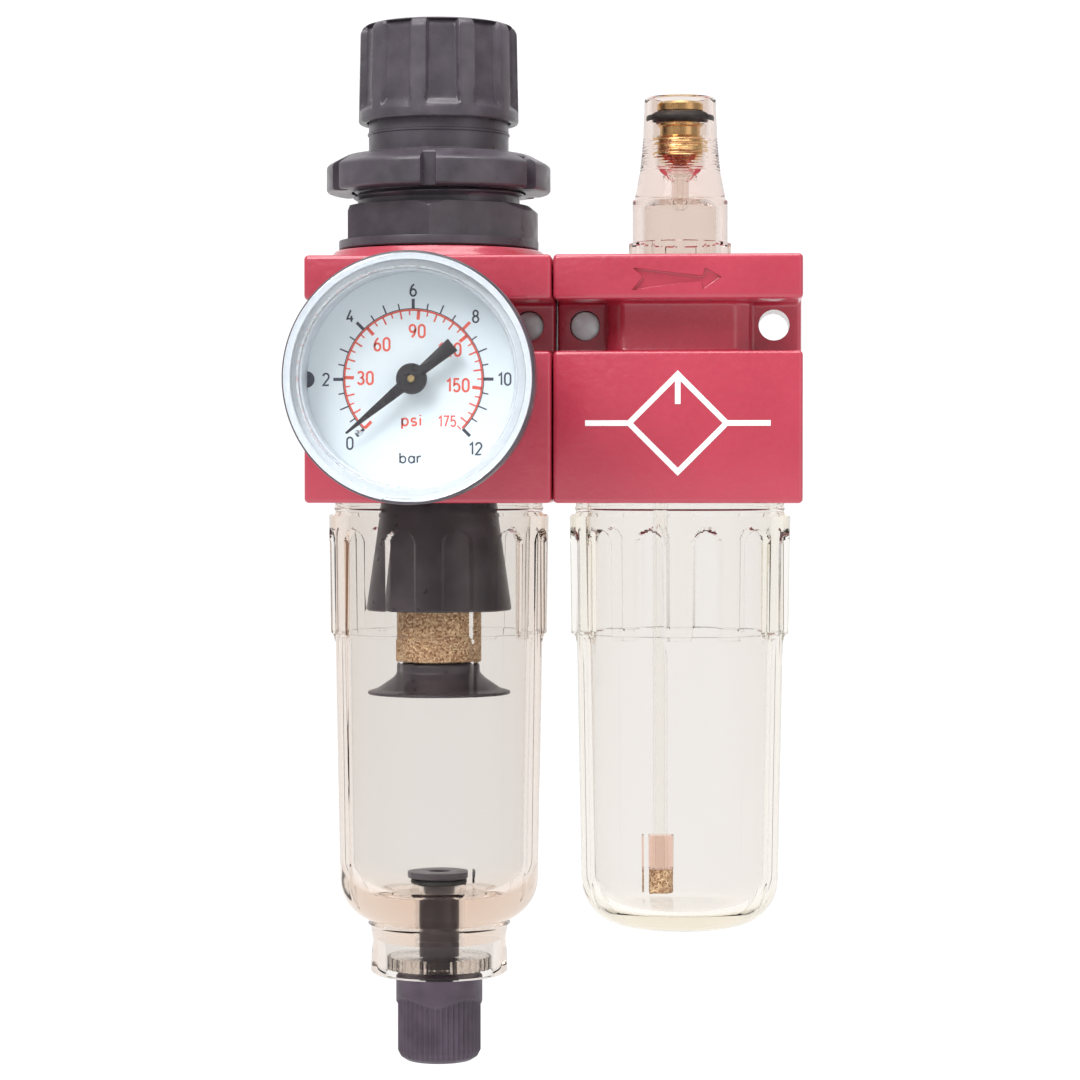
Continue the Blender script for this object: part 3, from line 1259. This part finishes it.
def gauge_movement():
    """Pinion arbor, toothed sector and link, which turn the pointer as the tube uncurls."""
    below = math.radians(-90)
    low, high = GEAR_LEVEL, GEAR_LEVEL + GEAR_THICK
    arbor_end = POINTER_LEVEL + 3 * POINTER_THICK
    arbor = rod("gauge_arbor", ARBOR_RADIUS, PLATE_LEVEL, arbor_end, GAUGE_AXIS, "brass", COARSE)
    middle = below if PINION_TEETH % 2 else below + math.pi / PINION_TEETH
    pinion = tooth_outline(PINION_TEETH, PINION_TEETH, middle)
    unite(arbor, plate("pinion", pinion, low, high, GAUGE_AXIS, None))

    pivot = (0, -SECTOR_PIVOT, 0)
    above = math.radians(90) - SECTOR_LEAD * math.tau / SECTOR_FULL_TEETH
    teeth = tooth_outline(SECTOR_TEETH, SECTOR_FULL_TEETH, above)
    hub = arc(0, 0, SECTOR_HUB_RADIUS, 170, 310, 6)
    tail = SECTOR_TAIL + LINK_WIDTH / 2
    sector_outline = [*teeth, *hub, (tail, -LINK_WIDTH / 2), (tail, LINK_WIDTH / 2)]
    sector = plate("gauge_sector", sector_outline, low, high, GAUGE_AXIS, "brass", place=pivot)
    slack = ARBOR_RADIUS + FIT
    bore = rod("sector_bore", slack, low - FIT, high + FIT, GAUGE_AXIS, sides=COARSE, place=pivot)
    cut(sector, bore)

    half = LINK_WIDTH / 2
    ends = arc(0, 0, half, 270, 90, 6)
    link_outline = [*ends, *arc(LINK_LENGTH, 0, half, 90, -90, 6)]
    place = (SECTOR_TAIL, -SECTOR_PIVOT, 0)
    top = LINK_LEVEL + POINTER_THICK
    plate("gauge_link", link_outline, LINK_LEVEL, top, GAUGE_AXIS, "brass", place=place)


def movement_plate():
    half = GAUGE_SOCKET_RADIUS
    low, high = PLATE_LEVEL, PLATE_LEVEL + MOVEMENT_PLATE
    foot = -SECTOR_PIVOT - MOVEMENT_PLATE_MARGIN
    outline = [(half, half), (-half, half), (-half / 2, foot), (half / 2, foot)]
    base = plate("movement_plate", outline, low, high, GAUGE_AXIS, "brass")
    bore = rod("arbor_bore", ARBOR_RADIUS + FIT, low - FIT, high + FIT, GAUGE_AXIS, sides=COARSE)
    pivot = (0, -SECTOR_PIVOT, 0)
    post = rod("sector_post", ARBOR_RADIUS, low + FIT, LINK_LEVEL, GAUGE_AXIS, sides=COARSE, place=pivot)
    cut(base, bore)
    unite(base, post)


def bourdon_tube():
    """A curved tube that starts at the socket and ends short of a full circle."""
    level = SOCKET_TOP - GAUGE_SOCKET / 2
    reach = GAUGE_SOCKET_RADIUS + FIT + BOURDON_TUBE_RADIUS
    bend = BOURDON_BEND
    points = [(-reach, 0, level), (-reach - bend, 0, level), (bend - BOURDON_RADIUS, -bend / 3, level)]
    curl = arc(0, 0, BOURDON_RADIUS, BOURDON_START, BOURDON_START - BOURDON_SWEEP, BOURDON_POINTS)
    points += [(x, y, level) for x, y in curl]
    wire("bourdon_tube", points, BOURDON_TUBE_RADIUS, GAUGE_AXIS, "brass")


def sight_dome():
    spigot = DOME_BORE_RADIUS - FIT
    groove = spigot - DOME_GROOVE_DEPTH
    groove_low = DOME_SPIGOT_FOOT + DOME_GROOVE_LAND
    groove_high = groove_low + DOME_GROOVE
    cavity = DOME_BARREL_RADIUS - DOME_WALL
    nozzle = NOZZLE_RADIUS + FIT
    outer = [
        (DOME_TOP_RADIUS - FIT, DOME_TOP),
        (DOME_TOP_RADIUS, DOME_TOP - FIT),
        (DOME_NECK_RADIUS, DOME_CONE_TOP),
        (DOME_BARREL_RADIUS - FIT, DOME_SHOULDER),
        (DOME_BARREL_RADIUS, DOME_SHOULDER - FIT),
        (DOME_BARREL_RADIUS, DOME_BASE_TOP),
        (DOME_BASE_RADIUS, DOME_BASE_TOP),
        (DOME_BASE_RADIUS, BODY_RISE + FIT),
        (spigot, BODY_RISE + FIT),
        (spigot, groove_high),
        (groove, groove_high),
        (groove, groove_low),
        (spigot, groove_low),
        (spigot, DOME_SPIGOT_FOOT),
    ]
    inner = [
        (SCREW_SEAL_BORE_RADIUS, DOME_TOP),
        (SCREW_SEAL_BORE_RADIUS, SEAL_BORE_FOOT),
        (SCREW_BORE_RADIUS, SEAL_BORE_FOOT),
        (SCREW_BORE_RADIUS, SCREW_BORE_FOOT),
        (nozzle, SCREW_BORE_FOOT),
        (nozzle, NOZZLE_ROOF),
        (cavity, NOZZLE_ROOF),
        (cavity, DOME_SPIGOT_FOOT),
    ]
    ring("sight_dome", outer, inner, OIL_AXIS, "clear_polycarbonate", MEDIUM)
    wire_radius = (DOME_GROOVE - FIT) / 2 - FIT / 2
    middle = (groove_low + groove_high) / 2
    o_ring("dome_seal", groove + wire_radius + FIT / 3, wire_radius, middle, OIL_AXIS, sides=MEDIUM)


def needle_screw():
    head = DOME_TOP - SCREW_BELOW_TOP
    groove_top = head - SCREW_HEAD
    groove_foot = groove_top - SCREW_GROOVE_HEIGHT
    flange_foot = groove_foot - SCREW_FLANGE
    thread_top = SEAL_BORE_FOOT - FIT
    thread = SCREW_BORE_RADIUS - FIT
    thread_foot = SCREW_BORE_FOOT + NOZZLE_HEAD + 4 * FIT
    groove = SCREW_RADIUS - SCREW_GROOVE
    outline = [
        (0, head),
        (SCREW_RADIUS, head),
        (SCREW_RADIUS, groove_top),
        (groove, groove_top),
        (groove, groove_foot),
        (SCREW_FLANGE_RADIUS, groove_foot),
        (SCREW_FLANGE_RADIUS, flange_foot),
        (SCREW_RADIUS, flange_foot),
        (SCREW_RADIUS, thread_top),
        (thread, thread_top - FIT),
        (thread, thread_foot + thread),
        (NOZZLE_BORE_RADIUS, thread_foot),
        (0, thread_foot),
    ]
    screw = turned("needle_screw", outline, OIL_AXIS, "brass", MEDIUM)
    reach = SCREW_RADIUS + FIT
    low = (-reach, -SCREW_SLOT / 2, head - SCREW_SLOT)
    high = (reach, SCREW_SLOT / 2, head + FIT)
    cut(screw, block("screw_slot", low, high, OIL_AXIS))
    seal = (groove_top - groove_foot - FIT) / 2 - FIT
    o_ring("needle_seal", groove + seal + FIT / 3, seal, (groove_top + groove_foot) / 2, OIL_AXIS)


def drip_nozzle():
    head_foot = SCREW_BORE_FOOT + FIT
    tip = NOZZLE_ROOF - NOZZLE_HANG
    outer = [
        (NOZZLE_HEAD_RADIUS, head_foot + NOZZLE_HEAD),
        (NOZZLE_HEAD_RADIUS, head_foot),
        (NOZZLE_RADIUS, head_foot),
        (NOZZLE_RADIUS, tip),
    ]
    inner = [(NOZZLE_BORE_RADIUS, head_foot + NOZZLE_HEAD), (NOZZLE_BORE_RADIUS, tip)]
    ring("drip_nozzle", outer, inner, OIL_AXIS, "brass", COARSE)


def siphon():
    place = (SIPHON_X, SIPHON_Y, 0)
    outer = [(SIPHON_RADIUS, SIPHON_HEAD), (SIPHON_RADIUS, SIPHON_END)]
    inner = [(SIPHON_BORE_RADIUS, SIPHON_HEAD), (SIPHON_BORE_RADIUS, SIPHON_END)]
    ring("siphon_tube", outer, inner, OIL_AXIS, "natural_nylon", COARSE, place=place)
    bore = SIPHON_RADIUS + FIT
    socket = SIPHON_END - FIT
    outline = [
        (0, socket),
        (bore, socket),
        (bore, SIPHON_FILTER_TOP),
        (SIPHON_FILTER_RADIUS, SIPHON_FILTER_TOP),
        (SIPHON_FILTER_RADIUS, SIPHON_FILTER_END),
        (0, SIPHON_FILTER_END),
    ]
    turned("siphon_filter", outline, OIL_AXIS, "sintered_bronze", COARSE, place=place)
    mesh = bpy.data.meshes.new("check_ball")
    work = bmesh.new()
    bmesh.ops.create_uvsphere(work, u_segments=12, v_segments=8, radius=BALL_RADIUS)
    work.to_mesh(mesh)
    work.free()
    mesh.shade_smooth()
    ball_z = SIPHON_HEAD + BALL_RADIUS + FIT
    placed("check_ball", mesh, OIL_AXIS, "zinc_plated_steel", (SIPHON_X, SIPHON_Y, ball_z))


def damper_flap():
    """A round flap across the main bore, hanging from a pin across the bore's top."""
    tab = FLAP_TAB / 2
    start = math.degrees(math.acos(tab / FLAP_RADIUS))
    rim = arc(0, 0, FLAP_RADIUS, start, -180 - start, MEDIUM)
    outline = [(tab, FLAP_HINGE), *rim, (-tab, FLAP_HINGE)]
    where = {"turn": (math.pi / 2, 0, math.pi / 2), "place": (FLAP_X, 0, 0)}
    half = FLAP_THICK / 2
    flap = plate("damper_flap", outline, -half, half, OIL_AXIS, "zinc_plated_steel", **where)
    ends = [(FLAP_X, side * FLAP_PIN / 2, FLAP_HINGE) for side in (-1, 1)]
    unite(flap, drill("flap_pin", FLAP_PIN_RADIUS, *ends, OIL_AXIS, COARSE))


def body_joint():
    """The nipple that joins the two main ports, and the face seal round it."""
    reach = UNIT_X - PORT_END - FIT
    radius = PORT_RADIUS - FIT
    bore = radius - NIPPLE_WALL
    outer = [(radius, reach), (radius, -reach)]
    ring("joining_nipple", outer, [(bore, reach), (bore, -reach)], JOINT_AXIS, "brass")
    middle = UNIT_X - FACE + FACE_GROOVE / 2
    o_ring("joining_seal", FACE_SEAL_RADIUS, FACE_SEAL_WIRE, middle, JOINT_AXIS, sides=MEDIUM)


def build():
    filter_regulator_body()
    lubricator_body()
    body_joint()
    bonnet()
    panel_nut()
    adjusting_knob()
    adjusting_spindle()
    spring_seat()
    springs()
    regulator_piston()
    valve_poppet()
    valve_carrier()
    deflector_shroud()
    filter_element()
    lower_baffle()
    filter_bowl()
    drain()
    drain_knob()
    rear_port_plug()
    gauge_case()
    gauge_stem()
    gauge_dial()
    gauge_lens()
    gauge_pointer()
    gauge_movement()
    movement_plate()
    bourdon_tube()
    sight_dome()
    needle_screw()
    drip_nozzle()
    siphon()
    damper_flap()
    oil_bowl()


build()
